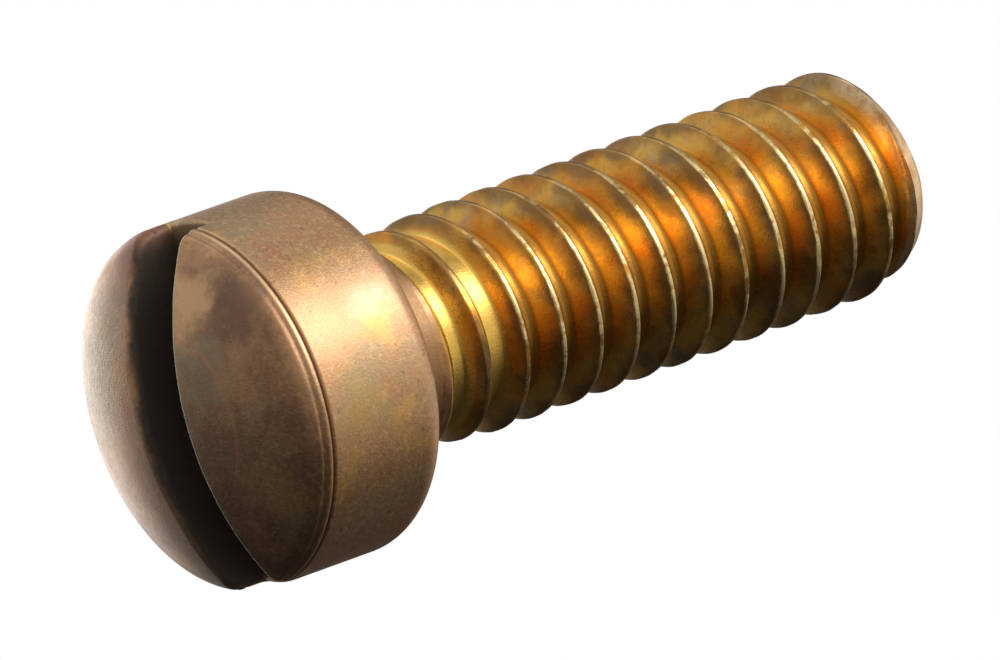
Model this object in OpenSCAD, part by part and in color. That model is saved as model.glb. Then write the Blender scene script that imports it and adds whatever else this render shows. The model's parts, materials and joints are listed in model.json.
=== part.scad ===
// Slotted machine screw with a domed cylindrical (fillister) head.
// The axis is Z. The origin is the centre of the bearing face under the head:
// the head rises along +Z, the threaded shank hangs along -Z, and the slot runs along Y.

/* [Head] */
// Diameter of the head's cylindrical side
head_d = 10; // [9:0.05:13]
// Height of the head from its bearing face to the top of the dome
head_h = 6; // [5:0.1:9]
// Radius of the sphere that the top is domed to
dome_r = 8.8; // [7.5:0.1:14]
// Radius of the rounded edge between the dome and the side
dome_edge_r = 0.75; // [0.2:0.05:0.9]
// Radius of the rounded rear rim, between the side and the bearing face
rear_rim_r = 0.75; // [0.2:0.05:0.9]
// Width of the fine line turned into the side at the foot of the dome
foot_line_w = 0.14; // [0.06:0.02:0.3]
// Depth of that line
foot_line_depth = 0.06; // [0.02:0.01:0.12]

/* [Driver slot] */
// Width of the slot
slot_w = 1.75; // [1:0.05:2.4]
// Depth of the slot below the top of the dome
slot_depth = 2.5; // [1:0.1:3.4]
// How far the slot's middle plane stands off the axis
slot_offset = 0.4; // [-0.5:0.05:0.5]

/* [Neck] */
// Length of the plain neck under the head, fillet included
neck_len = 1.45; // [0.6:0.05:4]
// Diameter of the plain neck
neck_d = 5.9; // [5:0.05:6.3]
// Radius of the fillet between the bearing face and the neck
neck_fillet_r = 0.4; // [0.1:0.05:0.5]

/* [Thread] */
// Major diameter of the thread, over its crests
thread_d = 6.24; // [5.5:0.01:7]
// Pitch of the right-hand thread
thread_pitch = 1.27; // [0.8:0.01:1.4]
// Angle between the flanks of the thread
thread_angle = 60; // [50:1:65]
// Width of the flat on each crest
crest_flat = 0.14; // [0.05:0.01:0.2]
// Width of the flat in each root
root_flat = 0.3; // [0.1:0.01:0.35]
// Length over which the grooves deepen from the neck to their full depth
groove_runout_len = 1; // [0.5:0.1:5]
// Length over which the crests rise from the neck to their full height
crest_runout_len = 2.7; // [0.5:0.1:5]
// Angle about Z, from +X, at which the crest reaches the end of the shank
thread_start_angle = 263; // [0:1:359]
// Length of the shank from the bearing face to its end
shank_len = 18.5; // [12:0.5:26]

/* [Point] */
// Length of the chamfered point
point_len = 0.6; // [0.3:0.05:1.2]
// Diameter of the chamfer at the end of the screw
point_d = 5.5; // [5:0.05:6.2]

/* [Hidden] */

// Facets of every true circle
$fn = 96;
// Straight steps along each rounded edge of a turned outline
EDGE_STEPS = 6;
// Straight steps along the dome's arc
DOME_STEPS = 16;
// Steps of the helix in one turn
TURN_STEPS = 32;
// How far a cutting shape runs past what it cuts
CUT = 1;

head_r = head_d / 2;
neck_r = neck_d / 2;
crest_r = thread_d / 2;
thread_depth = (thread_pitch - crest_flat - root_flat) / 2 / tan(thread_angle / 2);
root_r = crest_r - thread_depth;

// The edge's arc touches the side, and touches the dome from inside.
dome_centre_z = head_h - dome_r;
edge_centre_r = head_r - dome_edge_r;
edge_centre_z = dome_centre_z + sqrt(pow(dome_r - dome_edge_r, 2) - pow(edge_centre_r, 2));
dome_touch_angle = atan2(edge_centre_z - dome_centre_z, edge_centre_r);

// Points of an arc about centre, from angle a to angle b.
function arc(centre, r, a, b, steps) = [
    for (i = [0:steps])
        let (t = a + (b - a) * i / steps)
        centre + r * [cos(t), sin(t)]
];

// One pitch of the thread from root to root: each point is [share of the pitch, height above the root].
flank = (thread_pitch - crest_flat - root_flat) / 2 / thread_pitch;
tooth = [
    [0, 0],
    [flank, 1],
    [flank + crest_flat / thread_pitch, 1],
    [2 * flank + crest_flat / thread_pitch, 0]
];
tooth_points = len(tooth);
crest_share = flank + crest_flat / thread_pitch / 2;

// The helix overshoots both ends of the thread, so that flat cuts end it.
thread_top = -neck_len;
chamfer_top = point_len - shank_len;
helix_bottom = -shank_len - 2 * thread_pitch;
helix_turns = ceil((thread_top - helix_bottom) / thread_pitch) + 2;
helix_steps = helix_turns * TURN_STEPS;

// Angle of the helix's first step: it puts the crest at thread_start_angle on the shank's end.
first_angle = thread_start_angle - 360 * (-shank_len - helix_bottom - crest_share * thread_pitch) / thread_pitch;

// Share of a run-out of the given length that lies behind height z.
function runout_share(z, length) = max(0, min(1, (thread_top - z) / length));

// Radius of the thread's surface at height z, for a point at height h of the tooth.
function thread_r(z, h) =
    let (rise = (crest_r - neck_r) * runout_share(z, crest_runout_len))
    let (sink = (root_r - neck_r) * runout_share(z, groove_runout_len))
    neck_r + h * rise + (1 - h) * sink;

// Point m of the tooth at step i of the helix.
function helix_point(i, m) =
    let (z = helix_bottom + thread_pitch * (i / TURN_STEPS + tooth[m][0]))
    let (a = first_angle + 360 * i / TURN_STEPS)
    let (r = thread_r(z, tooth[m][1]))
    [r * cos(a), r * sin(a), z];

// Index of point m at step i. Past the tooth's last point comes the first point one turn on.
function index(i, m) = m < tooth_points ? i * tooth_points + m : (i + TURN_STEPS) * tooth_points;

// A solid rod whose side is the thread's surface, longer at both ends than the screw needs.
module threaded_rod() {
    sweep_end = helix_steps - TURN_STEPS;
    side_points = [
        for (i = [0:helix_steps], m = [0:tooth_points - 1])
            helix_point(i, m)
    ];
    bottom_centre = len(side_points);
    top_centre = bottom_centre + 1;
    axis_points = [
        [0, 0, helix_bottom + thread_pitch / 2],
        [0, 0, helix_bottom + thread_pitch * (helix_turns - 0.5)]
    ];
    side_a = [
        for (i = [0:sweep_end - 1], m = [0:tooth_points - 1])
            [index(i, m), index(i, m + 1), index(i + 1, m)]
    ];
    side_b = [
        for (i = [0:sweep_end - 1], m = [0:tooth_points - 1])
            [index(i + 1, m), index(i, m + 1), index(i + 1, m + 1)]
    ];
    bottom_turn = [
        for (i = [0:TURN_STEPS - 1])
            [bottom_centre, index(i, 0), index(i + 1, 0)]
    ];
    bottom_step = [
        for (m = [0:tooth_points - 1])
            [bottom_centre, index(0, m + 1), index(0, m)]
    ];
    top_turn = [
        for (i = [0:TURN_STEPS - 1])
            [top_centre, index(sweep_end + i + 1, 0), index(sweep_end + i, 0)]
    ];
    top_step = [
        for (m = [0:tooth_points - 1])
            [top_centre, index(sweep_end, m), index(sweep_end, m + 1)]
    ];
    polyhedron(
        points = concat(side_points, axis_points),
        faces = concat(side_a, side_b, bottom_turn, bottom_step, top_turn, top_step)
    );
}

// Domed cylinder with the driver slot right across it, down to where the rear rim's rounding starts.
module head() {
    outline = concat(
        [[0, rear_rim_r], [head_r, rear_rim_r], [head_r, edge_centre_z - foot_line_w]],
        [[head_r - foot_line_depth, edge_centre_z - foot_line_w / 2]],
        arc([edge_centre_r, edge_centre_z], dome_edge_r, 0, dome_touch_angle, EDGE_STEPS),
        [for (p = arc([0, dome_centre_z], dome_r, dome_touch_angle, 90, DOME_STEPS)) if (p[0] < edge_centre_r) p]
    );
    color("rosybrown")
    difference() {
        rotate_extrude() polygon(outline);
        translate([slot_offset - slot_w / 2, -head_r - CUT, head_h - slot_depth])
            cube([slot_w, head_d + 2 * CUT, slot_depth + CUT]);
    }
}

// Rounded rear rim, bearing face, fillet and plain neck.
module under_head() {
    outline = concat(
        [[0, -neck_len], [neck_r, -neck_len]],
        arc([neck_r + neck_fillet_r, -neck_fillet_r], neck_fillet_r, 180, 90, EDGE_STEPS),
        arc([head_r - rear_rim_r, rear_rim_r], rear_rim_r, -90, 0, EDGE_STEPS),
        [[0, rear_rim_r]]
    );
    color("tan")
    rotate_extrude() polygon(outline);
}

// Shank with the helical thread, from the neck to where the point's chamfer starts.
module threaded_shank() {
    color("goldenrod")
    intersection() {
        threaded_rod();
        translate([0, 0, chamfer_top]) cylinder(r = crest_r + CUT, h = thread_top - chamfer_top);
    }
}

// Chamfered end of the thread, cut off flat.
module point() {
    color("burlywood")
    intersection() {
        threaded_rod();
        translate([0, 0, -shank_len]) cylinder(r1 = point_d / 2, r2 = crest_r, h = point_len);
    }
}

head();
under_head();
threaded_shank();
point();
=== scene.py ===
"""Slotted machine screw with a domed cylindrical head: its visual model, finishes, light and camera."""
import json
import logging
import math
from dataclasses import dataclass, field
from enum import Enum

import bmesh
import bpy
from mathutils import Matrix, Vector, noise


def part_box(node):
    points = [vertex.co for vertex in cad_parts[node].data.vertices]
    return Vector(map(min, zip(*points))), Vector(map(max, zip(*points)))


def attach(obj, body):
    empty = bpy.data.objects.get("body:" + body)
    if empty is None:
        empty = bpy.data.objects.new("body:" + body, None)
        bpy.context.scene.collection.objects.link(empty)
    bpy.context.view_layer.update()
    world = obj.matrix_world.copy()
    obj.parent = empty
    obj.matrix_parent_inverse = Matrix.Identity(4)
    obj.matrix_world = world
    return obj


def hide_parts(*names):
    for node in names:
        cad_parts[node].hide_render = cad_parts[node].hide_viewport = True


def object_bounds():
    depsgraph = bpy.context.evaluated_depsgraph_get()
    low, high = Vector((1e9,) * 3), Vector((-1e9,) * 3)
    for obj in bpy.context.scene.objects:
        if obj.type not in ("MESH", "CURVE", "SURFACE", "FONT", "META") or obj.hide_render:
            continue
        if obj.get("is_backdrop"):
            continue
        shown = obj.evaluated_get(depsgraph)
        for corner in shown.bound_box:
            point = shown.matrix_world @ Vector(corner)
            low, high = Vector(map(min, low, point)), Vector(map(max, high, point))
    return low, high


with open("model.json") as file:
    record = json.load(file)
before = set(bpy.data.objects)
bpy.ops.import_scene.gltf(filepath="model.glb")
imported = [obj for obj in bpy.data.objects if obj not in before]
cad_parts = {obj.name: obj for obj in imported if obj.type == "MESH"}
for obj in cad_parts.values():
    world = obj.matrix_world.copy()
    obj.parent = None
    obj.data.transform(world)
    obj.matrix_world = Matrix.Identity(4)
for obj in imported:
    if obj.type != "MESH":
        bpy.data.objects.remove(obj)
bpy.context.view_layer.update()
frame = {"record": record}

LOG = logging.getLogger("screw")

MM = 0.001
BODY = "root"
ORIGIN = (0.0, 0.0, 0.0)
X_AXIS = (1.0, 0.0, 0.0)
Y_AXIS = (0.0, 1.0, 0.0)
Z_AXIS = (0.0, 0.0, 1.0)
WHITE = (1.0, 1.0, 1.0, 1.0)
# All in millimetres. Vertices closer than WELD become one, a cut takes up vertices closer than SNAP,
# and a vertex closer than NEAR to a plane counts as lying on it.
WELD = 1e-4
SNAP = 2e-3
NEAR = 1e-3

Triple = tuple[float, float, float]
Colour = Triple
Outline = list[tuple[float, float]]
Waves = tuple[tuple[float, float], ...]
Socket = bpy.types.NodeSocket


def mounts() -> dict[str, dict]:
    """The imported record's mounts by name."""
    return {mount["name"]: mount for mount in frame["record"]["mounts"]}


def span_mm(node: str, axis: int) -> tuple[float, float]:
    """Lowest and highest place of a node along one axis.

    Args:
        node: Name of the node in the frame.
        axis: 0, 1 or 2 for X, Y or Z.

    Returns:
        Both places in millimetres.
    """
    low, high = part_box(node)
    return low[axis] / MM, high[axis] / MM


def arc(centre: tuple[float, float], radius: float, start: float, end: float, steps: int) -> Outline:
    """Points along an arc in the (radius, height) plane.

    Args:
        centre: Centre of the arc.
        radius: Radius of the arc.
        start: Angle of the first point, in degrees.
        end: Angle of the last point, in degrees.
        steps: Number of straight steps between them.

    Returns:
        steps + 1 points.
    """
    turns = [math.radians(start + (end - start) * i / steps) for i in range(steps + 1)]
    return [(centre[0] + radius * math.cos(t), centre[1] + radius * math.sin(t)) for t in turns]


def line(start: tuple[float, float], end: tuple[float, float], steps: int) -> Outline:
    """Points along a straight stretch, without its first point.

    Args:
        start: Point that the stretch leaves.
        end: Last point.
        steps: Number of equal steps.

    Returns:
        steps points, the last one at end.
    """
    return [
        (start[0] + (end[0] - start[0]) * i / steps, start[1] + (end[1] - start[1]) * i / steps)
        for i in range(1, steps + 1)
    ]


def wavy(point: Vector, level: float, waves: Waves) -> float:
    """A level with gentle waves added, as hand wear leaves them.

    Args:
        point: Place on the piece, in millimetres.
        level: Level without waves.
        waves: Number of waves in one millimetre and their height, for each set of waves.

    Returns:
        The level at the place.
    """
    for pace, height in waves:
        level += height * noise.noise(point * pace)
    return level


def turned(outline: Outline, steps: int) -> bmesh.types.BMesh:
    """Turn an outline about Z into a closed solid.

    Args:
        outline: Points as (radius, height) in millimetres, from axis to axis.
        steps: Number of facets round the solid.

    Returns:
        The solid, in millimetres.
    """
    bm = bmesh.new()
    verts = [bm.verts.new((r, 0.0, z)) for r, z in outline]
    edges = [bm.edges.new(pair) for pair in zip(verts, verts[1:])]
    bmesh.ops.spin(
        bm,
        geom=verts + edges,
        cent=ORIGIN,
        axis=Z_AXIS,
        angle=math.tau,
        steps=steps,
        use_merge=True,
    )
    bmesh.ops.remove_doubles(bm, verts=bm.verts[:], dist=WELD)
    bmesh.ops.recalc_face_normals(bm, faces=bm.faces[:])
    return bm


def close_holes(bm: bmesh.types.BMesh) -> None:
    """Fill every open loop of a mesh with one flat face, and turn all faces outwards.

    Args:
        bm: The mesh.
    """
    rim = [edge for edge in bm.edges if edge.is_boundary]
    bmesh.ops.holes_fill(bm, edges=rim, sides=0)
    bmesh.ops.recalc_face_normals(bm, faces=bm.faces[:])


def finished_piece(
    bm: bmesh.types.BMesh,
    name: str,
    node: str,
    material: bpy.types.Material,
    crease: float,
) -> bpy.types.Object:
    """Make a mesh in millimetres a piece of the model that stands for one node.

    Args:
        bm: The mesh, which is used up.
        name: Name of the new object.
        node: Node that the piece stands for.
        material: Finish of the whole piece.
        crease: Angle in degrees past which an edge is shaded sharp.

    Returns:
        The new object.
    """
    bmesh.ops.scale(bm, vec=(MM, MM, MM), verts=bm.verts[:])
    for face in bm.faces:
        face.smooth = True
    mesh = bpy.data.meshes.new(name)
    bm.to_mesh(mesh)
    bm.free()
    mesh.set_sharp_from_angle(angle=math.radians(crease))
    mesh.materials.append(material)
    piece = bpy.data.objects.new(name, mesh)
    bpy.context.scene.collection.objects.link(piece)
    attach(piece, BODY)
    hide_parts(node)
    LOG.info("%s: %d faces, stands for %s", name, len(mesh.polygons), node)
    return piece


class Step(Enum):
    """One arithmetic step on one or two values."""

    ADD = "ADD"
    SUBTRACT = "SUBTRACT"
    MULTIPLY = "MULTIPLY"
    MAXIMUM = "MAXIMUM"
    ABSOLUTE = "ABSOLUTE"


@dataclass(frozen=True)
class Grain:
    """A noise pattern: waves in one millimetre, number and share of finer layers, and choice of pattern."""

    scale: float
    detail: float
    roughness: float
    seed: float


class NodeBench:
    """Lays out the nodes of one metal, with all lengths in millimetres."""

    def __init__(self, name: str) -> None:
        """Start a metal material with one Principled shader.

        Args:
            name: Name of the material.
        """
        self.material = bpy.data.materials.new(name)
        self.material.use_nodes = True
        self.tree = self.material.node_tree
        self.tree.nodes.clear()
        self.shader = self.tree.nodes.new("ShaderNodeBsdfPrincipled")
        self.shader.inputs["Metallic"].default_value = 1.0
        output = self.tree.nodes.new("ShaderNodeOutputMaterial")
        self.tree.links.new(self.shader.outputs["BSDF"], output.inputs["Surface"])
        coordinates = self.tree.nodes.new("ShaderNodeTexCoord")
        self.place = self.stretched(coordinates.outputs["Object"], (1 / MM, 1 / MM, 1 / MM))

    def join(self, source: object, target: Socket) -> None:
        """Link a socket, or set a plain value, on a target socket.

        Args:
            source: Socket or plain value.
            target: Input socket that takes it.
        """
        if isinstance(source, Socket):
            self.tree.links.new(source, target)
        else:
            target.default_value = source

    def stretched(self, vector: object, scale: Triple) -> Socket:
        """Scale a vector along its three axes.

        Args:
            vector: Socket to scale.
            scale: Factor along X, Y and Z.

        Returns:
            The scaled vector.
        """
        node = self.tree.nodes.new("ShaderNodeMapping")
        self.join(vector, node.inputs["Vector"])
        node.inputs["Scale"].default_value = scale
        return node.outputs["Vector"]

    def grain(self, pattern: Grain, vector: object = None) -> Socket:
        """Noise between 0 and 1.

        Args:
            pattern: The noise pattern.
            vector: Place to read the noise at, or None for the place on the piece.

        Returns:
            The noise value.
        """
        node = self.tree.nodes.new("ShaderNodeTexNoise")
        node.noise_dimensions = "4D"
        self.join(vector if vector is not None else self.place, node.inputs["Vector"])
        node.inputs["W"].default_value = pattern.seed
        node.inputs["Scale"].default_value = pattern.scale
        node.inputs["Detail"].default_value = pattern.detail
        node.inputs["Roughness"].default_value = pattern.roughness
        return node.outputs["Fac"]

    def maths(self, step: Step, first: object, second: object = 0.0) -> Socket:
        """Result of one arithmetic step on two values.

        Args:
            step: The arithmetic step.
            first: First value.
            second: Second value.

        Returns:
            The result.
        """
        node = self.tree.nodes.new("ShaderNodeMath")
        node.operation = step.value
        self.join(first, node.inputs[0])
        self.join(second, node.inputs[1])
        return node.outputs["Value"]

    def product(self, first: object, *others: object) -> Socket:
        """Product of two or more values.

        Args:
            first: First value.
            others: Values that it is multiplied by, one after another.

        Returns:
            The product.
        """
        for other in others:
            first = self.maths(Step.MULTIPLY, first, other)
        return first

    def ranged(
        self, value: object, low: float, high: float, to_low: float = 0.0, to_high: float = 1.0
    ) -> Socket:
        """Map a value smoothly from one range to another, held at the ends.

        Args:
            value: Value to map.
            low: Start of its range.
            high: End of its range.
            to_low: Result at the start.
            to_high: Result at the end.

        Returns:
            The mapped value.
        """
        node = self.tree.nodes.new("ShaderNodeMapRange")
        node.interpolation_type = "SMOOTHSTEP"
        self.join(value, node.inputs["Value"])
        node.inputs["From Min"].default_value = low
        node.inputs["From Max"].default_value = high
        node.inputs["To Min"].default_value = to_low
        node.inputs["To Max"].default_value = to_high
        return node.outputs["Result"]

    def clouded(
        self, pattern: Grain, low: float, high: float, to_low: float = 0.0, to_high: float = 1.0
    ) -> Socket:
        """Map a noise pattern smoothly from one range to another, held at the ends.

        Args:
            pattern: The noise pattern.
            low: Start of its range.
            high: End of its range.
            to_low: Result at the start.
            to_high: Result at the end.

        Returns:
            The mapped value.
        """
        return self.ranged(self.grain(pattern), low, high, to_low, to_high)

    def blend(self, share: object, first: object, second: object) -> Socket:
        """Blend two colours.

        Args:
            share: Share of the second colour.
            first: First colour.
            second: Second colour.

        Returns:
            The blended colour.
        """
        node = self.tree.nodes.new("ShaderNodeMix")
        node.data_type = "RGBA"
        self.join(share, node.inputs[0])
        for source, target in ((first, node.inputs[6]), (second, node.inputs[7])):
            self.join((*source, 1.0) if isinstance(source, tuple) else source, target)
        return node.outputs[2]

    def from_axis(self) -> Socket:
        """Distance of the place from the screw's axis.

        Returns:
            The distance in millimetres.
        """
        node = self.tree.nodes.new("ShaderNodeVectorMath")
        node.operation = "LENGTH"
        self.join(self.stretched(self.place, (1.0, 1.0, 0.0)), node.inputs[0])
        return node.outputs["Value"]

    def from_point(self, point: Triple) -> Socket:
        """Distance of the place from a point.

        Args:
            point: The point, in millimetres.

        Returns:
            The distance in millimetres.
        """
        node = self.tree.nodes.new("ShaderNodeVectorMath")
        node.operation = "DISTANCE"
        self.join(self.place, node.inputs[0])
        node.inputs[1].default_value = point
        return node.outputs["Value"]

    def along(self, axis: Triple) -> Socket:
        """How far the place lies along a direction.

        Args:
            axis: The direction.

        Returns:
            The length along it, in millimetres.
        """
        node = self.tree.nodes.new("ShaderNodeVectorMath")
        node.operation = "DOT_PRODUCT"
        self.join(self.place, node.inputs[0])
        node.inputs[1].default_value = axis
        return node.outputs["Value"]

    def vector(self, x: object, y: object, z: object) -> Socket:
        """A vector put together from three values.

        Args:
            x: Part along X.
            y: Part along Y.
            z: Part along Z.

        Returns:
            The vector.
        """
        node = self.tree.nodes.new("ShaderNodeCombineXYZ")
        for source, target in zip((x, y, z), node.inputs):
            self.join(source, target)
        return node.outputs["Vector"]

    def relief(self, height: object, depth: float, below: object = None) -> Socket:
        """Fine relief of the surface.

        Args:
            height: Height between 0 and 1.
            depth: Depth of the relief, in millimetres.
            below: Normal of a coarser relief under it, or None.

        Returns:
            The bent normal.
        """
        node = self.tree.nodes.new("ShaderNodeBump")
        node.inputs["Distance"].default_value = depth * MM
        self.join(height, node.inputs["Height"])
        if below is not None:
            self.join(below, node.inputs["Normal"])
        return node.outputs["Normal"]

    def dress(self, colour: object, roughness: object, normal: object) -> bpy.types.Material:
        """Plug the finished colour, roughness and normal into the shader.

        Args:
            colour: Colour of the metal.
            roughness: Roughness of its surface.
            normal: Normal with the fine relief.

        Returns:
            The finished material.
        """
        self.join(colour, self.shader.inputs["Base Color"])
        self.join(roughness, self.shader.inputs["Roughness"])
        self.join(normal, self.shader.inputs["Normal"])
        return self.material


@dataclass(frozen=True)
class Patch:
    """A round patch of other tarnish with a frayed edge. Lengths are in millimetres."""

    centre: Triple
    size: float
    colour: Colour
    share: float
    seed: float

    def over(self, bench: NodeBench, colour: Socket) -> Socket:
        """Lay the patch over a colour.

        Args:
            bench: Bench of the material.
            colour: Colour under the patch.

        Returns:
            The colour with the patch on it.
        """
        edge = Grain(0.9, 4.0, 0.6, self.seed)
        frayed = bench.clouded(edge, 0.3, 0.7, -0.6 * self.size, 0.6 * self.size)
        away = bench.maths(Step.ADD, bench.from_point(self.centre), frayed)
        inside = bench.ranged(away, 1.4 * self.size, 0.4 * self.size)
        return bench.blend(bench.product(inside, self.share), colour, self.colour)


@dataclass(frozen=True)
class AgedHeadFinish:
    """Bronze gone brown in the hand: mottled, satin, with faint turning marks. Lengths are in millimetres."""

    slot_x: float
    slot_half: float
    slot_floor: float
    dome_foot: float
    brown: Colour = (0.56, 0.33, 0.185)
    grey: Colour = (0.44, 0.33, 0.21)
    red: Colour = (0.54, 0.26, 0.15)
    gold: Colour = (0.74, 0.44, 0.155)
    pale: Colour = (0.80, 0.57, 0.38)
    pitted: Colour = (0.12, 0.08, 0.055)
    smoke: Colour = (0.28, 0.165, 0.11)
    # Pale lip colour: bare metal and a painted highlight.
    rubbed_and_lit: Colour = (0.62, 0.62, 0.46)
    rust: Colour = (0.20, 0.075, 0.045)
    reddened: Colour = (0.30, 0.14, 0.10)
    neck: Colour = (0.36, 0.20, 0.105)
    # Near black for the painted shade in the slot and the painted contact shadow round the neck.
    painted_shade: Colour = (0.11, 0.093, 0.088)
    clouds: Grain = Grain(0.35, 3.0, 0.55, 1.0)
    speckle: Grain = Grain(7.0, 3.0, 0.65, 2.0)
    turning: Grain = Grain(7.0, 2.0, 0.6, 3.0)
    red_clouds: Grain = Grain(0.8, 4.0, 0.6, 4.0)
    smoke_clouds: Grain = Grain(0.7, 4.0, 0.6, 5.0)
    pits: Grain = Grain(5.0, 2.0, 0.6, 6.0)
    fine: Grain = Grain(14.0, 3.0, 0.6, 8.0)
    gold_clouds: Grain = Grain(0.55, 5.0, 0.65, 9.0)
    shade_edge: Grain = Grain(1.5, 3.0, 0.6, 21.0)
    turning_depth: float = 0.005
    fine_depth: float = 0.008
    circle_r: float = 2.85
    # Side of the head where the bead's painted highlight is strongest.
    bead_highlight_side: Triple = (0.8, 0.6, 0.0)
    patches: tuple[Patch, ...] = (
        Patch((2.1, 3.1, 5.1), 0.9, (0.84, 0.52, 0.28), 0.6, 30.0),
        Patch((3.4, 2.8, 4.8), 1.0, (0.17, 0.10, 0.085), 0.6, 31.0),
        Patch((2.2, 1.3, 5.5), 0.9, (0.33, 0.29, 0.20), 0.45, 32.0),
        Patch((3.2, -2.2, 5.1), 0.7, (0.50, 0.36, 0.16), 0.5, 33.0),
        Patch((5.0, -0.6, 2.9), 0.9, (0.62, 0.42, 0.16), 0.4, 34.0),
        Patch((4.6, 2.0, 1.6), 0.7, (0.80, 0.50, 0.38), 0.5, 35.0),
    )

    def mottled(self, bench: NodeBench, clouds: Socket) -> Socket:
        """Brown and greyish metal with red and golden clouds.

        Args:
            bench: Bench of the material.
            clouds: The broadest clouds.

        Returns:
            The colour.
        """
        colour = bench.blend(bench.ranged(clouds, 0.42, 0.62), self.brown, self.grey)
        colour = bench.blend(bench.clouded(self.red_clouds, 0.52, 0.72, 0.0, 0.7), colour, self.red)
        return bench.blend(bench.clouded(self.gold_clouds, 0.54, 0.68, 0.0, 0.75), colour, self.gold)

    def aged(self, bench: NodeBench, colour: Socket, dome: Socket, speckle: Socket) -> Socket:
        """Smoke on the dome, with less of it past the slot, where the lighter far edge is a painted rim
        light; pale specks, dark pits and patches.

        Args:
            bench: Bench of the material.
            colour: Colour of the mottled metal.
            dome: 1 on the dome and 0 below it.
            speckle: The fine speckle.

        Returns:
            The colour.
        """
        smoky = bench.clouded(self.smoke_clouds, 0.36, 0.62, 0.35, 0.95)
        # Less smoke towards the dome's far edge: a painted rim light.
        thinned_in_rim_light = bench.ranged(bench.along(X_AXIS), -2.5, 0.0, 0.3, 1.0)
        colour = bench.blend(bench.product(dome, smoky, thinned_in_rim_light), colour, self.smoke)
        specks = bench.ranged(speckle, 0.48, 0.74, 0.0, 0.55)
        fewer = bench.ranged(dome, 0.0, 1.0, 1.0, 0.35)
        colour = bench.blend(bench.product(specks, fewer), colour, self.pale)
        colour = bench.blend(bench.clouded(self.pits, 0.60, 0.75, 0.0, 0.45), colour, self.pitted)
        for patch in self.patches:
            colour = patch.over(bench, colour)
        return colour

    def turned_lines(
        self, bench: NodeBench, colour: Socket, dome: Socket, height: Socket, radius: Socket
    ) -> Socket:
        """Painted highlight on the bead and rust line at the foot of the dome, and a faint red circle on the
        dome.

        Args:
            bench: Bench of the material.
            colour: Colour under the lines.
            dome: 1 on the dome and 0 below it.
            height: Height of the place.
            radius: Distance of the place from the axis.

        Returns:
            The colour.
        """
        # Painted highlight: pale colour on the bead, strongest on the side that the light falls on.
        above = bench.ranged(height, self.dome_foot + 0.04, self.dome_foot + 0.10)
        below = bench.ranged(height, self.dome_foot + 0.20, self.dome_foot + 0.13)
        bead_highlight = bench.ranged(bench.along(self.bead_highlight_side), 3.6, 4.8, 0.0, 0.8)
        colour = bench.blend(bench.product(above, below, bead_highlight), colour, self.pale)
        from_foot = bench.maths(Step.ABSOLUTE, bench.maths(Step.SUBTRACT, height, self.dome_foot))
        rim = bench.ranged(radius, 4.6, 4.8, 0.0, 0.85)
        colour = bench.blend(bench.product(bench.ranged(from_foot, 0.07, 0.03), rim), colour, self.rust)
        from_circle = bench.maths(Step.ABSOLUTE, bench.maths(Step.SUBTRACT, radius, self.circle_r))
        circle = bench.ranged(from_circle, 0.09, 0.03, 0.0, 0.55)
        one_side = bench.ranged(bench.along(X_AXIS), 1.8, 2.5)
        return bench.blend(bench.product(circle, dome, one_side), colour, self.red)

    def rubbed_lip_and_highlight(self, bench: NodeBench, colour: Socket, past_lip: Socket, over_floor: Socket) -> Socket:
        """Bare metal worn along the slot's crisp lip, and a painted highlight on it.

        Args:
            bench: Bench of the material.
            colour: Colour under it.
            past_lip: How far the place lies outside the crisp wall.
            over_floor: 1 above the slot's floor and 0 below it.

        Returns:
            The colour.
        """
        # Bare metal and a painted highlight along the crisp lip.
        outer = bench.ranged(past_lip, 0.09, 0.05)
        inner = bench.ranged(past_lip, -0.02, 0.0, 0.0, 0.8)
        return bench.blend(bench.product(outer, over_floor, inner), colour, self.rubbed_and_lit)

    def reddened_end(self, bench: NodeBench, colour: Socket, past_lip: Socket, over_floor: Socket) -> Socket:
        """Red tarnish at the slot's far end, from the worn lip to the crisp wall.

        Args:
            bench: Bench of the material.
            colour: Colour under it.
            past_lip: How far the place lies outside the crisp wall.
            over_floor: 1 above the slot's floor and 0 below it.

        Returns:
            The colour.
        """
        end = bench.ranged(bench.along(Y_AXIS), 3.7, 4.5, 0.0, 0.8)
        from_worn_lip = bench.ranged(past_lip, -3.0, -2.3)
        to_wall = bench.ranged(past_lip, 0.0, -0.03)
        return bench.blend(bench.product(end, over_floor, from_worn_lip, to_wall), colour, self.reddened)

    def painted_shade_share(self, bench: NodeBench, height: Socket, radius: Socket) -> Socket:
        """Share of painted shade: near black painted in the slot, thinning out over its worn lip, and a
        painted contact shadow round the neck.

        Args:
            bench: Bench of the material.
            height: Height of the place.
            radius: Distance of the place from the axis.

        Returns:
            1 where the painted shade hides the metal, and 0 where there is none.
        """
        across = bench.maths(Step.SUBTRACT, bench.along(X_AXIS), self.slot_x)
        frayed = bench.maths(Step.ADD, across, bench.clouded(self.shade_edge, 0.3, 0.7, -0.05, 0.05))
        worn_side = bench.ranged(frayed, -self.slot_half - 0.24, -self.slot_half - 0.06)
        crisp_side = bench.ranged(across, self.slot_half + 0.025, self.slot_half + 0.005)
        above = bench.ranged(height, self.slot_floor - 0.03, self.slot_floor)
        open_end = bench.ranged(bench.along(Y_AXIS), 4.2, 4.9, 1.0, 0.4)
        # Painted shade in the slot, fading out at its open end.
        in_slot = bench.product(worn_side, crisp_side, above, open_end)
        over_fillet = bench.ranged(height, -0.42, -0.25)
        under_face = bench.ranged(height, 0.3, 0.1)
        # Painted contact shadow in the corner under the head.
        in_corner = bench.product(over_fillet, bench.ranged(radius, 4.2, 3.6), under_face, 0.8)
        return bench.maths(Step.MAXIMUM, in_slot, in_corner)

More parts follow.
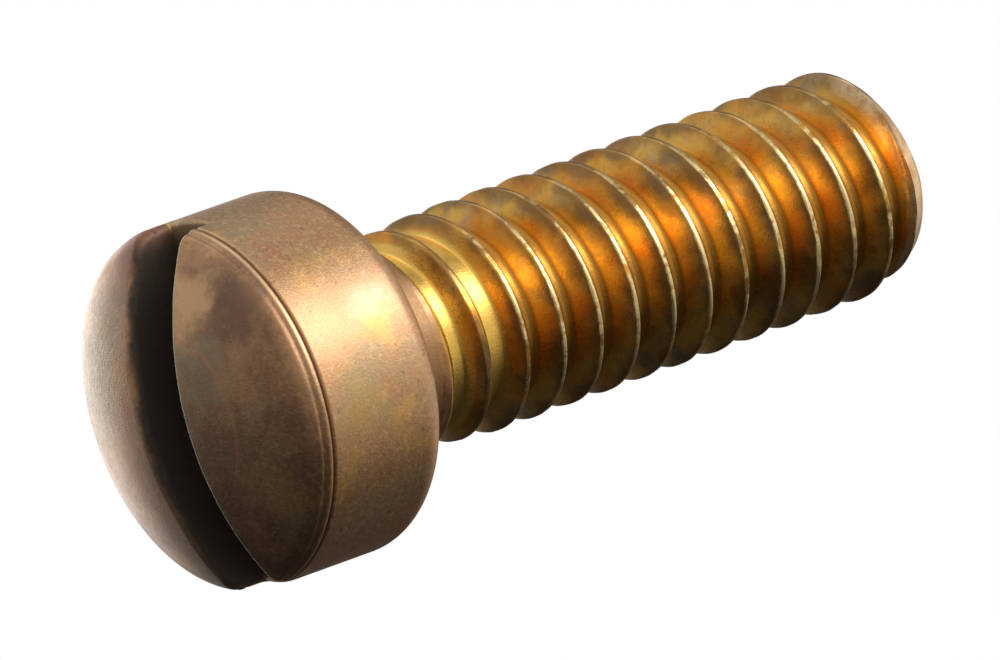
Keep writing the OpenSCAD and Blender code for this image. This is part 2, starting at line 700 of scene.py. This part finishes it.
    def material(self) -> bpy.types.Material:
        """Make the finish of the head.

        Returns:
            The material.
        """
        bench = NodeBench("aged_head")
        height = bench.along(Z_AXIS)
        radius = bench.from_axis()
        clouds = bench.grain(self.clouds)
        speckle = bench.grain(self.speckle)
        dome = bench.ranged(height, self.dome_foot, self.dome_foot + 0.25)
        over_floor = bench.ranged(height, self.slot_floor, self.slot_floor + 0.05)
        past_lip = bench.maths(Step.SUBTRACT, bench.along(X_AXIS), self.slot_x + self.slot_half)
        painted_shade = self.painted_shade_share(bench, height, radius)
        colour = self.aged(bench, self.mottled(bench, clouds), dome, speckle)
        colour = self.rubbed_lip_and_highlight(bench, colour, past_lip, over_floor)
        colour = self.turned_lines(bench, colour, dome, height, radius)
        colour = bench.blend(bench.ranged(height, 0.0, -0.3, 0.0, 0.9), colour, self.neck)
        colour = self.reddened_end(bench, colour, past_lip, over_floor)
        # Painted shade in the slot and round the neck.
        colour = bench.blend(painted_shade, colour, self.painted_shade)
        uneven = bench.ranged(speckle, 0.3, 0.7, -0.04, 0.05)
        satin = bench.maths(Step.ADD, bench.ranged(clouds, 0.3, 0.7, 0.36, 0.46), uneven)
        roughness = bench.maths(Step.ADD, satin, bench.product(painted_shade, 0.4))
        rings = bench.grain(self.turning, bench.vector(radius, 0.0, bench.product(height, 2.0)))
        normal = bench.relief(rings, self.turning_depth)
        normal = bench.relief(bench.grain(self.fine), self.fine_depth, normal)
        return bench.dress(colour, roughness, normal)


@dataclass(frozen=True)
class GoldenThreadFinish:
    """Brass golden in the grooves, pale on the crests from wear and a painted highlight, and tarnished on one
    side.

    Lengths are in millimetres. turns_axis is square to the thread's turns on the +X side. point_axis leans,
    so that the stain at the end reaches further up on one side.
    """

    crest_r: float
    chamfer_z: float
    gold: Colour = (0.80, 0.48, 0.11)
    orange: Colour = (0.76, 0.33, 0.055)
    fresh: Colour = (0.92, 0.62, 0.16)
    # Painted shade in the deep roots.
    root: Colour = (0.50, 0.23, 0.04)
    neck: Colour = (0.40, 0.22, 0.115)
    olive: Colour = (0.46, 0.34, 0.19)
    dark: Colour = (0.20, 0.12, 0.06)
    # Pale crest colour: bare metal and a painted highlight.
    worn: Colour = (0.82, 0.66, 0.36)
    pink: Colour = (0.93, 0.70, 0.47)
    blotches: Grain = Grain(0.45, 3.0, 0.6, 11.0)
    dents: Grain = Grain(0.9, 2.0, 0.5, 12.0)
    darkening_edge: Grain = Grain(0.7, 3.0, 0.55, 13.0)
    tarnish: Grain = Grain(0.9, 4.0, 0.65, 14.0)
    satin: Grain = Grain(3.0, 3.0, 0.6, 15.0)
    chips: Grain = Grain(4.0, 2.0, 0.5, 16.0)
    speckle: Grain = Grain(8.0, 3.0, 0.65, 17.0)
    fine: Grain = Grain(12.0, 3.0, 0.6, 18.0)
    point_stain: Grain = Grain(1.6, 4.0, 0.65, 19.0)
    point_edge: Grain = Grain(1.1, 3.0, 0.6, 20.0)
    fine_depth: float = 0.006
    # Side where the crests' painted highlight is strongest.
    rubbed_and_lit_side: Triple = (0.996, 0.087, 0.0)
    turns_axis: Triple = (0.0, -0.075, 1.0)
    point_axis: Triple = (-0.02, -0.03, 1.0)
    first_grooves_z: float = -3.95
    plain_z: float = -1.72

    def tarnished(self, bench: NodeBench, radius: Socket) -> Socket:
        """Gold and orange brass with olive tarnish, darker towards the crests, and painted shade in the deep
        roots.

        Args:
            bench: Bench of the material.
            radius: Distance of the place from the axis.

        Returns:
            The colour.
        """
        colour = bench.blend(bench.clouded(self.blotches, 0.42, 0.62), self.gold, self.orange)
        colour = bench.blend(bench.clouded(self.tarnish, 0.48, 0.68, 0.0, 0.8), colour, self.olive)
        # Darker towards the crests, with a frayed edge.
        stain = bench.maths(Step.ADD, radius, bench.clouded(self.darkening_edge, 0.3, 0.7, -0.35, 0.22))
        colour = bench.blend(bench.ranged(stain, 2.62, 3.15, 0.0, 0.75), colour, self.dark)
        colour = bench.blend(bench.clouded(self.speckle, 0.52, 0.75, 0.0, 0.4), colour, self.dark)
        # Painted shade: the deep roots darker orange.
        return bench.blend(bench.ranged(radius, 2.60, 2.50, 0.0, 0.85), colour, self.root)

    def bared_and_highlit(self, bench: NodeBench, colour: Socket, radius: Socket) -> Socket:
        """Pale, chipped metal on the crests, bare from wear and partly a painted highlight, most of it on the
        side that the light falls on.

        Args:
            bench: Bench of the material.
            colour: Colour of the tarnished thread.
            radius: Distance of the place from the axis.

        Returns:
            The colour.
        """
        chips = bench.maths(Step.ADD, bench.grain(self.dents), bench.grain(self.chips))
        ragged = bench.maths(Step.ADD, radius, bench.ranged(chips, 0.8, 1.2, -0.02, 0.014))
        bare = bench.ranged(ragged, self.crest_r - 0.035, self.crest_r - 0.01)
        # Pale crests mostly on the side that the light falls on: partly a painted highlight.
        rubbed_and_lit = bench.ranged(bench.along(self.rubbed_and_lit_side), 1.2, 2.6, 0.1, 1.0)
        return bench.blend(bench.product(bare, rubbed_and_lit), colour, self.worn)

    def point_ring(self, bench: NodeBench, radius: Socket) -> Socket:
        """Share of the pinkish stain on the chamfer at the end.

        Args:
            bench: Bench of the material.
            radius: Distance of the place from the axis.

        Returns:
            1 where the stain is full, and 0 where there is none.
        """
        frayed = bench.clouded(self.point_edge, 0.35, 0.65, -0.10, 0.10)
        height = bench.maths(Step.ADD, bench.along(self.point_axis), frayed)
        chamfer = bench.ranged(height, self.chamfer_z + 0.16, self.chamfer_z + 0.06)
        rim = bench.ranged(radius, 2.62, 2.74)
        one_side = bench.ranged(bench.along(X_AXIS), 0.7, 2.0, 0.15, 1.0)
        return bench.product(chamfer, rim, one_side, bench.clouded(self.point_stain, 0.42, 0.62, 0.95, 0.35))

    def material(self) -> bpy.types.Material:
        """Make the finish of the shank and its point.

        Returns:
            The material.
        """
        bench = NodeBench("golden_thread")
        radius = bench.from_axis()
        height = bench.along(self.turns_axis)
        colour = self.bared_and_highlit(bench, self.tarnished(bench, radius), radius)
        first_grooves = bench.ranged(height, self.first_grooves_z, self.first_grooves_z + 0.2)
        floor = bench.product(first_grooves, bench.ranged(radius, 2.78, 2.66))
        colour = bench.blend(bench.product(floor, 0.8), colour, self.fresh)
        plain = bench.ranged(height, self.plain_z, self.plain_z + 0.1, 0.0, 0.9)
        colour = bench.blend(plain, colour, self.neck)
        colour = bench.blend(self.point_ring(bench, radius), colour, self.pink)
        roughness = bench.clouded(self.satin, 0.3, 0.7, 0.24, 0.36)
        roughness = bench.maths(Step.SUBTRACT, roughness, bench.product(floor, 0.06))
        return bench.dress(colour, roughness, bench.relief(bench.grain(self.fine), self.fine_depth))


@dataclass(frozen=True)
class Furrow:
    """A fine furrow turned round the head: its height above the dome's edge, its half width and its depth."""

    rise: float
    width: float
    depth: float

    def at(self, height: float) -> float:
        """Depth of the furrow at a height above the start of the dome's edge."""
        return self.depth * math.exp(-(((height - self.rise) / self.width) ** 2))


@dataclass
class Head:
    """Domed cylinder with the driver slot across it. All sizes are in millimetres."""

    dome_r: float = 8.8
    edge_r: float = 0.75
    foot_h: float = 0.4
    slot_w: float = 1.75
    worn_lip_r: float = 0.28
    crisp_lip_r: float = 0.07
    lip_waves: Waves = ((0.9, 0.35), (3.1, 0.15))
    lip_cuts: int = 10
    lip_reach: float = 1.5
    furrows: tuple[Furrow, ...] = (Furrow(-0.07, 0.045, 0.06), Furrow(0.22, 0.07, 0.05))
    furrow_waves: Waves = ((0.7, 0.15),)
    furrow_reach: float = 0.5
    furrow_side: float = 0.3
    rust_drop: float = 0.0555
    facets: int = 320
    crease: float = 40.0
    name: str = "screw_head"
    radius: float = field(init=False)
    bottom: float = field(init=False)
    top: float = field(init=False)
    slot_x: float = field(init=False)
    slot_floor: float = field(init=False)

    def __post_init__(self) -> None:
        """Read the head's place and the slot's place from the frame."""
        self.radius = mounts()["head_side"]["dims"]["r_mm"]
        self.bottom, self.top = span_mm("head", 2)
        slot = mounts()["driver_slot"]["pos_m"]
        self.slot_x = slot[0] / MM
        self.slot_floor = slot[2] / MM

    @property
    def dome_z(self) -> float:
        """Height of the centre of the dome's sphere."""
        return self.top - self.dome_r

    @property
    def edge_centre(self) -> tuple[float, float]:
        """Centre of the rounded edge's arc, which touches the side and the dome."""
        r = self.radius - self.edge_r
        return r, self.dome_z + math.sqrt((self.dome_r - self.edge_r) ** 2 - r * r)

    @property
    def rust_z(self) -> float:
        """Height of the rust line at the foot of the dome."""
        return self.edge_centre[1] - self.rust_drop

    def outline(self) -> Outline:
        """Half outline from the top of the dome, down the side, to the axis.

        Returns:
            Points as (radius, height).
        """
        r, z = self.edge_centre
        touch = math.degrees(math.atan2(z - self.dome_z, r))
        dome = arc((0.0, self.dome_z), self.dome_r, 90.0, touch, 48)
        edge = arc((r, z), self.edge_r, touch, 0.0, 16)[1:]
        foot = line((self.radius, z), (self.radius, z - self.foot_h), 16)
        side = line((self.radius, z - self.foot_h), (self.radius, self.bottom), 14)
        floor = line((self.radius, self.bottom), (0.0, self.bottom), 4)
        return dome + edge + foot + side + floor

    def out_of(self, point: Vector) -> Vector:
        """Direction out of the uncut head's surface at a point near it.

        Args:
            point: Point on the surface.

        Returns:
            Unit vector.
        """
        r = math.hypot(point.x, point.y)
        edge_r, edge_z = self.edge_centre
        if point.z <= edge_z:
            slope = Vector((1.0, 0.0))
        elif r > edge_r and math.atan2(point.z - self.dome_z, r) < math.atan2(edge_z - self.dome_z, edge_r):
            slope = Vector((r - edge_r, point.z - edge_z)).normalized()
        else:
            slope = Vector((r, point.z - self.dome_z)).normalized()
        if r < 1e-6:
            return Vector((0.0, 0.0, 1.0))
        return Vector((point.x / r * slope.x, point.y / r * slope.x, slope.y))

    def lip_r(self, point: Vector) -> float:
        """Radius of the slot's rounded lip, from the worn lip across the slot to the crisp one.

        Args:
            point: Point near the lip.

        Returns:
            The radius.
        """
        share = max(0.0, min(1.0, (point.x - self.slot_x) / self.slot_w + 0.5))
        even = self.worn_lip_r + (self.crisp_lip_r - self.worn_lip_r) * share
        return even * wavy(point, 1.0, self.lip_waves)

    def cut_slot(self, bm: bmesh.types.BMesh) -> None:
        """Cut the slot, round its lips and close its walls and floor.

        Args:
            bm: The uncut head.
        """
        half = self.slot_w / 2
        low, high = self.slot_x - half, self.slot_x + half
        reach = self.worn_lip_r * self.lip_reach
        turns = [math.pi / 2 * i / (self.lip_cuts - 1) for i in range(self.lip_cuts)]
        rows = [reach * (1.0 - math.cos(turn)) for turn in turns]
        for offset in rows:
            for x in (low - offset, high + offset):
                near = [f for f in bm.faces if f.calc_center_median().z > self.slot_floor - 2 * reach]
                self.split(bm, near, (x, 0.0, 0.0), X_AXIS)
            near = [
                f for f in bm.faces
                if abs(f.calc_center_median().x - self.slot_x) < half + 2 * reach
                and abs(f.calc_center_median().z - self.slot_floor) < 3 * reach
            ]
            self.split(bm, near, (0.0, 0.0, self.slot_floor - offset), Z_AXIS)
        inside = [
            f for f in bm.faces
            if low < f.calc_center_median().x < high and f.calc_center_median().z > self.slot_floor
        ]
        bmesh.ops.delete(bm, geom=inside, context="FACES")
        for vert in bm.verts:
            self.round_lip(vert, low, high)
        rim = [v for e in bm.edges if e.is_boundary for v in e.verts]
        for x in (low, high):
            ends = [v for v in set(rim) if abs(v.co.x - x) < NEAR and abs(v.co.z - self.slot_floor) < NEAR]
            back, front = min(ends, key=lambda v: v.co.y), max(ends, key=lambda v: v.co.y)
            bm.edges.new((back, front))
            wall = [
                e for e in bm.edges
                if len(e.link_faces) < 2 and all(abs(v.co.x - x) < NEAR for v in e.verts)
            ]
            bmesh.ops.contextual_create(bm, geom=wall)
        floor = [
            e for e in bm.edges
            if len(e.link_faces) < 2 and all(abs(v.co.z - self.slot_floor) < NEAR for v in e.verts)
        ]
        bmesh.ops.contextual_create(bm, geom=floor)

    @staticmethod
    def split(bm: bmesh.types.BMesh, faces: list[bmesh.types.BMFace], point: Triple, normal: Triple) -> None:
        """Cut a plane's line into some faces of a mesh, and set the vertices of the cut right on the plane.

        Args:
            bm: The mesh.
            faces: Faces that the line may cross.
            point: Point on the plane.
            normal: Direction square to the plane.
        """
        edges = list({edge for face in faces for edge in face.edges})
        verts = list({vert for face in faces for vert in face.verts})
        geom = verts + edges + faces
        cut = bmesh.ops.bisect_plane(bm, geom=geom, dist=SNAP, plane_co=point, plane_no=normal)
        for part in cut["geom_cut"]:
            if isinstance(part, bmesh.types.BMVert):
                part.co -= Vector(normal) * (part.co - Vector(point)).dot(Vector(normal))

    def round_lip(self, vert: bmesh.types.BMVert, low: float, high: float) -> None:
        """Sink a vertex that lies on the slot's lip, so that the lip is round.

        Args:
            vert: Vertex of the head.
            low: Place of one slot wall along X.
            high: Place of the other.
        """
        point = vert.co
        if point.z < self.slot_floor - 2 * self.worn_lip_r:
            return
        across = max(low - point.x, point.x - high, 0.0)
        below = max(self.slot_floor - point.z, 0.0)
        away = math.hypot(across, below)
        lip = self.lip_r(point)
        if away >= lip:
            return
        sink = lip - math.sqrt(lip * lip - (lip - away) ** 2)
        out = self.out_of(point)
        out.x = 0.0
        if below > 0.0 or abs(point.z - self.slot_floor) < NEAR:
            out.z = 0.0
        vert.co = point - out.normalized() * sink

    def turn_furrows(self, bm: bmesh.types.BMesh) -> None:
        """Turn the fine furrows at the foot of the dome, shallower on one side, with a bead between them.

        Args:
            bm: The head.
        """
        z = self.edge_centre[1]
        for vert in bm.verts:
            r = math.hypot(vert.co.x, vert.co.y)
            if r < self.radius - self.furrow_side or abs(vert.co.z - z) > self.furrow_reach:
                continue
            turn = math.atan2(vert.co.y, vert.co.x)
            share = wavy(vert.co, 0.6 + 0.4 * math.cos(turn - 0.5), self.furrow_waves)
            depth = share * sum(furrow.at(vert.co.z - z) for furrow in self.furrows)
            shrink = 1.0 + min(-depth, self.radius - r) / r
            vert.co.x *= shrink
            vert.co.y *= shrink

    def build(self, finish: bpy.types.Material) -> bpy.types.Object:
        """Build the head.

        Args:
            finish: Finish of the head.

        Returns:
            The head.
        """
        bm = turned(self.outline(), self.facets)
        self.turn_furrows(bm)
        self.cut_slot(bm)
        bmesh.ops.recalc_face_normals(bm, faces=bm.faces[:])
        return finished_piece(bm, self.name, "head", finish, self.crease)


@dataclass
class UnderHead:
    """Rounded rear rim, bearing face, fillet and plain neck. All sizes are in millimetres."""

    neck_r: float = 2.95
    fillet_r: float = 0.4
    facets: int = 320
    crease: float = 40.0
    name: str = "rim_and_neck"

    def build(self, finish: bpy.types.Material) -> bpy.types.Object:
        """Build the stretch between the head's side and the thread.

        Args:
            finish: Finish of the head.

        Returns:
            The rim and neck.
        """
        low, rim_r = span_mm("under_head", 2)
        head_r = mounts()["head_side"]["dims"]["r_mm"]
        fillet = arc((self.neck_r + self.fillet_r, -self.fillet_r), self.fillet_r, 180.0, 90.0, 10)
        rim = arc((head_r - rim_r, rim_r), rim_r, -90.0, 0.0, 16)
        face = line(fillet[-1], rim[0], 4)[:-1]
        neck = line((self.neck_r, low), fillet[0], 6)[:-1]
        outline = [(0.0, low), (self.neck_r, low)] + neck + fillet + face + rim + [(0.0, rim_r)]
        bm = turned(outline, self.facets)
        return finished_piece(bm, self.name, "under_head", finish, self.crease)


class End(Enum):
    """Which end of the thread a piece covers."""

    SHANK = "threaded_shank"
    POINT = "point"


@dataclass
class Thread:
    """The right-hand thread, as the shank or as the chamfered point. All sizes are in millimetres."""

    end: End
    pitch: float = 1.27
    flank_angle: float = 60.0
    crest_flat: float = 0.14
    root_flat: float = 0.3
    neck_r: float = 2.95
    root_corner: float = 0.08
    cut_end: float = -1.32
    cut_length: float = 0.65
    cut_share: float = 0.82
    shallow_z: float = -3.45
    shallow_reach: float = 1.2
    shallow_share: float = 0.29
    crest_runout: float = 2.7
    start_angle: float = 263.0
    point_r: float = 2.75
    lead_in: float = 1.2
    lead_drop: float = 0.16
    wear: float = 0.012
    wear_waves: Waves = ((0.8, 0.02), (2.7, 0.015))
    steps: int = 128
    weld: float = 4e-3
    crease: float = 32.0
    crest_r: float = field(init=False)
    top: float = field(init=False)
    chamfer_top: float = field(init=False)
    bottom: float = field(init=False)

    def __post_init__(self) -> None:
        """Read the thread's place from the frame."""
        self.crest_r = mounts()["machine_thread"]["dims"]["r_mm"]
        self.top = span_mm("threaded_shank", 2)[1]
        self.bottom, self.chamfer_top = span_mm("point", 2)

    @property
    def flank_w(self) -> float:
        """Length along the axis of one flank."""
        return (self.pitch - self.crest_flat - self.root_flat) / 2

    @property
    def depth(self) -> float:
        """Depth of the thread."""
        return self.flank_w / math.tan(math.radians(self.flank_angle / 2))

    def tooth(self) -> Outline:
        """One pitch of the thread from the middle of a root to the next, with round crest and root.

        Returns:
            Points as (radius, height).
        """
        tilt = math.radians(self.flank_angle / 2)
        per_flat = 0.5 / math.tan(tilt) / (1.0 / math.sin(tilt) - 1.0)
        crest_round, root_round = self.crest_flat * per_flat, self.root_flat * per_flat
        turn = 90.0 - self.flank_angle / 2
        root_centre = (self.crest_r - self.depth + root_round, 0.0)
        crest_centre = (self.crest_r - crest_round, self.pitch / 2)
        rise = arc(root_centre, root_round, 180.0, 180.0 - turn, 8)
        crest = arc(crest_centre, crest_round, -turn, 0.0, 6)
        rise += line(rise[-1], crest[0], 6) + crest[1:]
        fall = [(r, self.pitch - z) for r, z in reversed(rise[:-1])]
        return rise + fall

    def groove_share(self, point: Vector) -> float:
        """Share of the full depth that the groove has at a point, even across the groove's width.

        The groove runs out towards the head, and it is shallower again round shallow_z.

        Args:
            point: Point on the even thread.

        Returns:
            0 where the groove has run out, and 1 where it is fully cut.
        """
        turn = (math.degrees(math.atan2(point.y, point.x)) - self.start_angle) / 360.0
        crests = (point.z - self.bottom) / self.pitch - turn
        root = self.bottom + self.pitch * (math.floor(crests) + 0.5 + turn)
        cut = self.cut_share * max(0.0, min(1.0, (self.cut_end - root) / self.cut_length))
        cut += (1.0 - self.cut_share) * max(0.0, min(1.0, (self.cut_end - root) / self.crest_runout)) ** 2
        near = max(0.0, 1.0 - abs(root - self.shallow_z) / self.shallow_reach)
        return cut - self.shallow_share * math.sin(math.pi / 2 * near) ** 2

    def chamfer_r(self, point: Vector) -> float:
        """Radius that the chamfer leaves at a point. A lead-in, deepest on the -Y side, comes before it.

        Args:
            point: Point on the even thread.

        Returns:
            The radius.
        """
        r = math.hypot(point.x, point.y)
        down = max(0.0, (self.chamfer_top - point.z) / (self.chamfer_top - self.bottom))
        lead = max(0.0, 1.0 - (point.z - self.chamfer_top) / self.lead_in) if down == 0.0 else 1.0
        drop = self.lead_drop * (0.5 - 0.5 * point.y / r) * lead * lead
        return self.crest_r + (self.point_r - self.crest_r) * down - drop

    def shaped(self, point: Vector) -> Vector:
        """Give a point of the even thread its run-out, rounded groove floor, wear and chamfer.

        Args:
            point: Point on the even thread.

        Returns:
            The point where it really lies.
        """
        r = math.hypot(point.x, point.y)
        root_r = self.crest_r - self.depth
        risen = max(0.0, min(1.0, (self.top - point.z) / self.crest_runout)) ** 2
        top_r = self.neck_r + (self.crest_r - self.neck_r) * risen
        real = root_r + (r - root_r) * (top_r - root_r) / self.depth
        floor = self.neck_r - (self.neck_r - root_r) * self.groove_share(point)
        corner = max(0.0, 1.0 - abs(real - floor) / self.root_corner)
        real = max(real, floor) + corner * corner * self.root_corner / 4
        real = min(real, top_r - max(wavy(point, self.wear, self.wear_waves), 0.0))
        real = min(real, self.chamfer_r(point))
        return Vector((point.x * real / r, point.y * real / r, point.z))

    def coil(self, start_z: float, turns: int) -> bmesh.types.BMesh:
        """Sweep the tooth along the helix, one turn at a time.

        Args:
            start_z: Height of the coil's first root.
            turns: Number of turns.

        Returns:
            The even thread's surface, open at both ends.
        """
        start = self.start_angle - 360.0 * (self.bottom - start_z - self.pitch / 2) / self.pitch
        bm = bmesh.new()
        verts = [bm.verts.new((r, 0.0, start_z + z)) for r, z in self.tooth()]
        edges = [bm.edges.new(pair) for pair in zip(verts, verts[1:])]
        bmesh.ops.rotate(bm, verts=verts, cent=ORIGIN, matrix=Matrix.Rotation(math.radians(start), 3, "Z"))
        bmesh.ops.spin(
            bm,
            geom=verts + edges,
            cent=ORIGIN,
            axis=Z_AXIS,
            dvec=(0.0, 0.0, self.pitch / self.steps),
            angle=math.tau,
            steps=self.steps,
            use_merge=False,
        )
        first_turn = bm.verts[:] + bm.edges[:] + bm.faces[:]
        for turn in range(1, turns):
            copy = bmesh.ops.duplicate(bm, geom=first_turn)["geom"]
            moved = [part for part in copy if isinstance(part, bmesh.types.BMVert)]
            bmesh.ops.translate(bm, verts=moved, vec=(0.0, 0.0, turn * self.pitch))
        bmesh.ops.remove_doubles(bm, verts=bm.verts[:], dist=self.weld)
        return bm

    def build(self, finish: bpy.types.Material) -> bpy.types.Object:
        """Sweep the tooth along the helix, shape it and cut it to its stretch of the axis.

        Args:
            finish: Finish of the thread.

        Returns:
            The shank or the point.
        """
        high, low = (self.top, self.chamfer_top) if self.end is End.SHANK else (self.chamfer_top, self.bottom)
        # The coil starts and ends past both cuts.
        turns = math.ceil((high - low) / self.pitch) + 2
        bm = self.coil(low - 1.5 * self.pitch, turns)
        for height, normal in ((high, 1.0), (low, -1.0)):
            bmesh.ops.bisect_plane(
                bm,
                geom=bm.verts[:] + bm.edges[:] + bm.faces[:],
                dist=WELD,
                plane_co=(0.0, 0.0, height),
                plane_no=(0.0, 0.0, normal),
                clear_outer=True,
            )
        for vert in bm.verts:
            vert.co = self.shaped(vert.co)
        close_holes(bm)
        node = self.end.value
        return finished_piece(bm, f"screw_{node}", node, finish, self.crease)


def direction(turn: float, rise: float) -> Vector:
    """Unit vector at an angle about Z from +X and a rise above the XY plane, both in degrees."""
    t, e = math.radians(turn), math.radians(rise)
    return Vector((math.cos(e) * math.cos(t), math.cos(e) * math.sin(t), math.sin(e)))


@dataclass(frozen=True)
class Glow:
    """One soft glow in the sky round the screw: where it is, how narrow and how bright."""

    turn: float
    rise: float
    narrowness: float
    strength: float
    colour: Colour = (1.0, 1.0, 1.0)

    def build(self, tree: bpy.types.NodeTree, place: Socket) -> Socket:
        """Add the glow's nodes.

        Args:
            tree: Node tree of the world.
            place: Direction that a ray looks in.

        Returns:
            The glow's light.
        """
        dot = tree.nodes.new("ShaderNodeVectorMath")
        dot.operation = "DOT_PRODUCT"
        dot.inputs[1].default_value = direction(self.turn, self.rise)
        tree.links.new(place, dot.inputs[0])
        nearness = tree.nodes.new("ShaderNodeMapRange")
        nearness.inputs["From Min"].default_value = -1.0
        tree.links.new(dot.outputs["Value"], nearness.inputs["Value"])
        power = tree.nodes.new("ShaderNodeMath")
        power.operation = "POWER"
        power.inputs[1].default_value = self.narrowness
        tree.links.new(nearness.outputs["Result"], power.inputs[0])
        strength = tree.nodes.new("ShaderNodeMath")
        strength.operation = "MULTIPLY"
        strength.inputs[1].default_value = self.strength
        tree.links.new(power.outputs["Value"], strength.inputs[0])
        light = tree.nodes.new("ShaderNodeBackground")
        light.inputs["Color"].default_value = (*self.colour, 1.0)
        tree.links.new(strength.outputs["Value"], light.inputs["Strength"])
        return light.outputs["Background"]


@dataclass
class Studio:
    """Pale floor, soft light and the camera, whose angles are in degrees and whose distance is in metres."""

    aim_mm: Triple = (-0.232, -0.654, -5.853)
    turn: float = 8.011
    rise: float = 35.654
    roll: float = 109.634
    distance: float = 0.6235
    lens: float = 843.5
    floor_size: float = 2.0
    floor_gap: float = 0.0005
    dusk: Colour = (0.036, 0.033, 0.030)
    glows: tuple[Glow, ...] = (
        Glow(35.0, -40.0, 50.0, 3.9, (0.94, 0.98, 1.04)),
        Glow(33.0, -20.0, 40.0, 2.5, (1.1, 1.0, 0.75)),
        Glow(40.0, -93.0, 16.0, 0.9, (1.1, 1.0, 0.85)),
        Glow(-15.0, -45.0, 20.0, 0.75, (1.1, 1.0, 0.8)),
        Glow(108.0, -11.0, 18.0, 1.2, (1.05, 1.0, 0.9)),
        Glow(178.0, -11.0, 44.0, 3.9, (0.92, 0.98, 1.05)),
        Glow(138.0, 41.0, 10.0, 0.62),
        Glow(40.0, 20.0, 6.0, 0.9, (1.1, 1.0, 0.8)),
    )

    @property
    def aim(self) -> Vector:
        """Point that the camera faces, in metres."""
        return Vector(self.aim_mm) * MM

    def camera(self) -> bpy.types.Object:
        """Set up the camera.

        Returns:
            The camera.
        """
        data = bpy.data.cameras.new("camera")
        data.lens = self.lens
        data.clip_start = 0.01
        data.clip_end = 10.0
        back = direction(self.turn, self.rise)
        level = (-back).cross(Vector(Z_AXIS)).normalized()
        over = level.cross(-back)
        roll = math.radians(self.roll)
        right = level * math.cos(roll) - over * math.sin(roll)
        up = over * math.cos(roll) + level * math.sin(roll)
        holder = bpy.data.objects.new("camera", data)
        matrix = Matrix((right, up, back)).transposed().to_4x4()
        matrix.translation = self.aim + back * self.distance
        holder.matrix_world = matrix
        bpy.context.scene.collection.objects.link(holder)
        bpy.context.scene.camera = holder
        return holder

    def floor(self) -> bpy.types.Object:
        """Lay the pale floor under the screw. It glows evenly, so it shows no shadow.

        Returns:
            The floor.
        """
        bm = bmesh.new()
        bmesh.ops.create_grid(bm, x_segments=1, y_segments=1, size=self.floor_size)
        bmesh.ops.translate(bm, verts=bm.verts[:], vec=(0.0, 0.0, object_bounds()[0][2] - self.floor_gap))
        mesh = bpy.data.meshes.new("floor")
        bm.to_mesh(mesh)
        bm.free()
        material = bpy.data.materials.new("pale_floor")
        material.use_nodes = True
        tree = material.node_tree
        tree.nodes.clear()
        glow = tree.nodes.new("ShaderNodeEmission")
        glow.inputs["Color"].default_value = WHITE
        output = tree.nodes.new("ShaderNodeOutputMaterial")
        tree.links.new(glow.outputs["Emission"], output.inputs["Surface"])
        mesh.materials.append(material)
        holder = bpy.data.objects.new("floor", mesh)
        holder.visible_glossy = False
        holder.visible_diffuse = False
        holder.visible_shadow = False
        bpy.context.scene.collection.objects.link(holder)
        holder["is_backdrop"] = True
        return holder

    def world(self) -> None:
        """Surround the screw with soft glows, which only reflections see; the backdrop itself is pale."""
        world = bpy.data.worlds.new("studio")
        world.use_nodes = True
        tree = world.node_tree
        tree.nodes.clear()
        place = tree.nodes.new("ShaderNodeTexCoord").outputs["Generated"]
        soft = tree.nodes.new("ShaderNodeBackground")
        soft.inputs["Color"].default_value = (*self.dusk, 1.0)
        light = soft.outputs["Background"]
        for glow in self.glows:
            both = tree.nodes.new("ShaderNodeAddShader")
            tree.links.new(light, both.inputs[0])
            tree.links.new(glow.build(tree, place), both.inputs[1])
            light = both.outputs["Shader"]
        pale = tree.nodes.new("ShaderNodeBackground")
        pale.inputs["Color"].default_value = WHITE
        path = tree.nodes.new("ShaderNodeLightPath")
        mix = tree.nodes.new("ShaderNodeMixShader")
        tree.links.new(path.outputs["Is Camera Ray"], mix.inputs[0])
        tree.links.new(light, mix.inputs[1])
        tree.links.new(pale.outputs["Background"], mix.inputs[2])
        output = tree.nodes.new("ShaderNodeOutputWorld")
        tree.links.new(mix.outputs["Shader"], output.inputs["Surface"])
        bpy.context.scene.world = world

    def build(self) -> None:
        """Set up the whole studio."""
        self.camera()
        self.floor()
        self.world()
        bpy.context.scene.view_settings.view_transform = "Standard"


def main() -> None:
    """Build the screw piece by piece, then the studio round it."""
    logging.basicConfig(level=logging.INFO, format="%(name)s: %(message)s")
    head = Head()
    shank = Thread(End.SHANK)
    head_metal = AgedHeadFinish(head.slot_x, head.slot_w / 2, head.slot_floor, head.rust_z).material()
    thread_metal = GoldenThreadFinish(shank.crest_r, shank.chamfer_top).material()
    head.build(head_metal)
    UnderHead().build(head_metal)
    shank.build(thread_metal)
    Thread(End.POINT).build(thread_metal)
    Studio().build()


if __name__ == "__main__":
    main()
